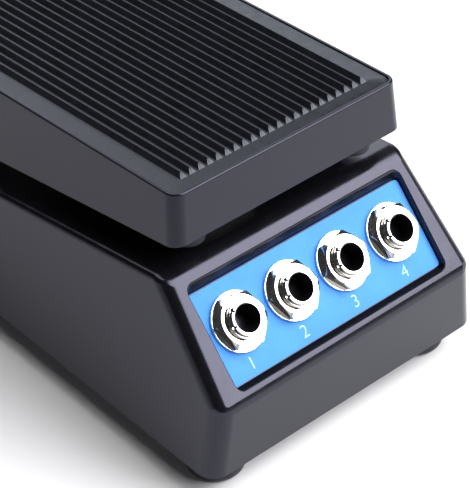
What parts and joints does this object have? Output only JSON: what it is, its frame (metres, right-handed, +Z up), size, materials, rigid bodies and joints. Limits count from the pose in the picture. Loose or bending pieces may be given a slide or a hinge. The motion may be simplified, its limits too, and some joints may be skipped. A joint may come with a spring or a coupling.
{
  "type": "volume pedal",
  "caption": "Rocking foot pedal on a wedge-shaped black base, with a ribbed rubber treadle and a row of quarter-inch sockets on a blue sloped panel.",
  "frame": {"origin": "middle of the footprint, at the level the rubber feet stand on", "axes": "+Y from the toe end, where the sockets are, to the heel; +X to the right seen from the toe end looking at the heel; +Z up"},
  "size_m": [0.086, 0.218, 0.0693],
  "materials": {
    "base_plastic": "black moulded plastic, semi-gloss",
    "treadle_plastic": "black moulded plastic, semi-gloss",
    "mat_rubber": "black ribbed rubber, fine grain",
    "foot_rubber": "black rubber, matt",
    "label": "light blue painted plate",
    "nickel": "bright nickel plate",
    "socket_plastic": "black moulded nylon",
    "contact_brass": "plated spring brass",
    "board": "green glass-fibre board",
    "wire": "pvc insulated wire",
    "zinc": "zinc plated steel",
    "screw_steel": "zinc plated steel screws",
    "plate_steel": "black powder coat",
    "axle_steel": "ground steel",
    "nylon": "natural nylon",
    "friction": "pressed fibre washer"
  },
  "bodies": {
    "base": {"base_shell": "base_plastic", "bottom_plate": "plate_steel", "plate_screws": "screw_steel", "foot_screws": "screw_steel", "label_plate": "label", "socket_washers": "nickel", "socket_nuts": "nickel", "circuit_board": "board", "wiring_loom": "wire", "pot_bracket": "zinc", "bracket_screws": "screw_steel", "pot_case": "zinc", "pot_bushing": "zinc", "pot_washer": "zinc", "pot_nut": "zinc", "bush_left": "nylon", "bush_right": "nylon", "socket_body_1": "socket_plastic", "socket_sleeve_1": "nickel", "socket_contacts_1": "contact_brass", "socket_body_2": "socket_plastic", "socket_sleeve_2": "nickel", "socket_contacts_2": "contact_brass", "socket_body_3": "socket_plastic", "socket_sleeve_3": "nickel", "socket_contacts_3": "contact_brass", "socket_body_4": "socket_plastic", "socket_sleeve_4": "nickel", "socket_contacts_4": "contact_brass", "foot_front_left": "foot_rubber", "foot_front_right": "foot_rubber", "foot_rear_left": "foot_rubber", "foot_rear_right": "foot_rubber"},
    "treadle": {"treadle_shell": "treadle_plastic", "rubber_mat": "mat_rubber", "quadrant": "nylon", "quadrant_screws": "screw_steel", "friction_washers": "friction", "axle": "axle_steel", "bumper_toe_left": "foot_rubber", "bumper_toe_right": "foot_rubber", "bumper_heel_left": "foot_rubber", "bumper_heel_right": "foot_rubber"},
    "pot_rotor": {"pot_shaft": "axle_steel", "pinion": "nylon", "pinion_screw": "screw_steel"}
  },
  "joints": [
    {"name": "treadle_pivot", "type": "hinge", "parent": "base", "child": "treadle", "pos_m": [0, 0.01021, 0.04555], "axis": [1, 0, 0], "range_deg": [-10.1, 1.5]},
    {"name": "pot_spin", "type": "hinge", "parent": "base", "child": "pot_rotor", "pos_m": [0, -0.05406, 0.0259], "axis": [1, 0, 0], "range_deg": [-150, 150]}
  ],
  "couplings": [
    {"joint": "pot_spin", "follows": "treadle_pivot", "ratio": -11}
  ]
}
